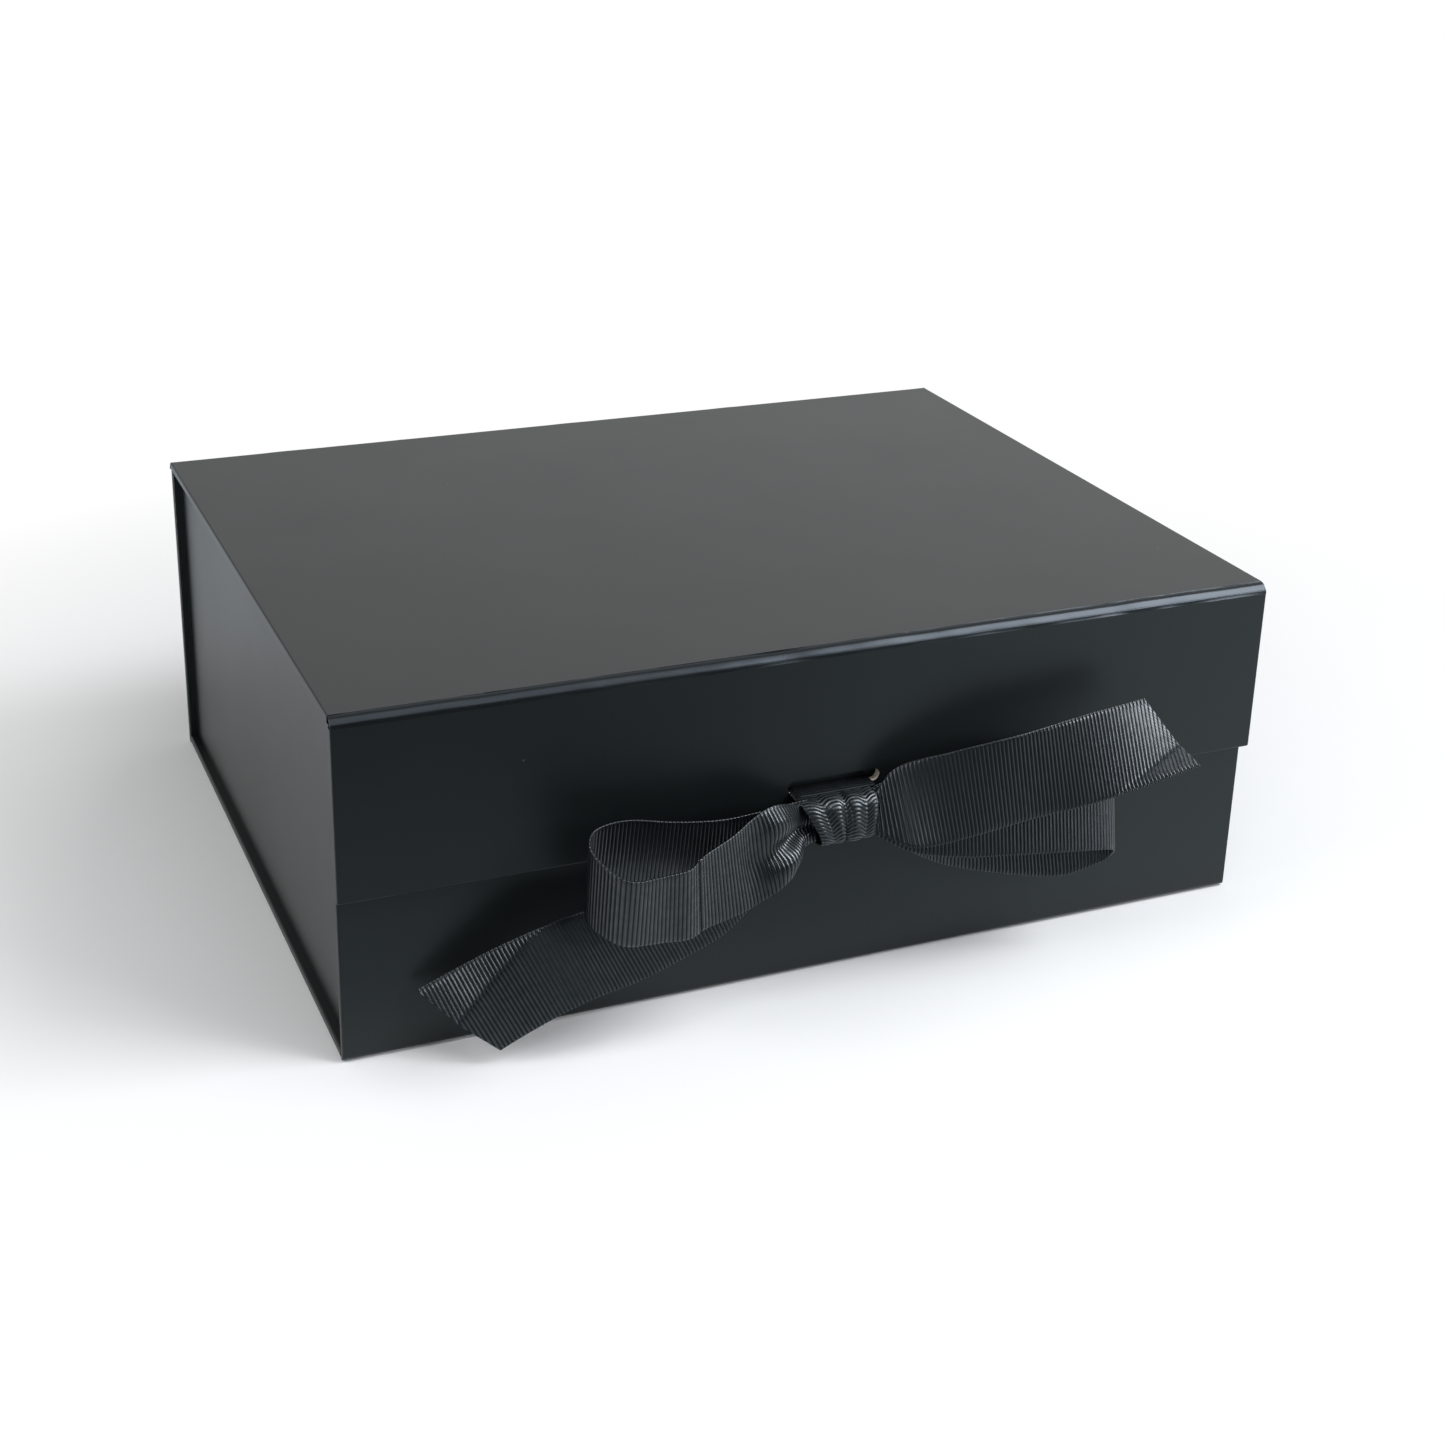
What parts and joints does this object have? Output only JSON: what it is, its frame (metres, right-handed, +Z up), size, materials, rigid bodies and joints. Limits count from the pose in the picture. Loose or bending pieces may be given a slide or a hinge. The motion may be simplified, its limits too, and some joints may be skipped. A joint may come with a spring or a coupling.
{
  "type": "gift box",
  "caption": "Rectangular black rigid box with a hinged lid, a magnetic flap that folds down over the front wall, and a ribbon bow tied through a slot in the flap.",
  "frame": {"origin": "on the surface it stands on, under the middle of the box", "axes": "+X along the front to the right, +Y from the flap to the back, +Z up"},
  "size_m": [0.256, 0.2286, 0.093],
  "materials": {
    "black_laminate": "matt film, satin",
    "grey_board": "raw grey board",
    "black_liner": "matt uncoated",
    "magnet_steel": "nickel plated",
    "clear_tape": "translucent",
    "black_grosgrain": "ribbed satin"
  },
  "bodies": {
    "case": {"base_board": "grey_board", "base_wrap": "black_laminate", "base_liner": "black_liner", "back_board": "grey_board", "back_wrap": "black_laminate", "back_liner": "black_liner", "front_board": "grey_board", "front_wrap": "black_laminate", "front_liner": "black_liner", "strike_plates": "magnet_steel", "left_side_board": "grey_board", "left_side_wrap": "black_laminate", "right_side_board": "grey_board", "right_side_wrap": "black_laminate", "corner_tapes": "clear_tape"},
    "lid": {"lid_board": "grey_board", "lid_wrap": "black_laminate", "lid_liner": "black_liner"},
    "flap": {"flap_board": "grey_board", "flap_wrap": "black_laminate", "flap_liner": "black_liner", "flap_magnets": "magnet_steel", "ribbon_band": "black_grosgrain", "ribbon_knot": "black_grosgrain", "ribbon_left_loop": "black_grosgrain", "ribbon_right_loop": "black_grosgrain", "ribbon_left_tail": "black_grosgrain", "ribbon_right_tail": "black_grosgrain"}
  },
  "joints": [
    {"name": "lid_hinge", "type": "hinge", "parent": "case", "child": "lid", "pos_m": [0, 0.09875, 0.09175], "axis": [-1, 0, 0], "range_deg": [0, 180]},
    {"name": "flap_hinge", "type": "hinge", "parent": "lid", "child": "flap", "pos_m": [0, -0.09875, 0.09175], "axis": [-1, 0, 0], "range_deg": [0, 180]}
  ]
}
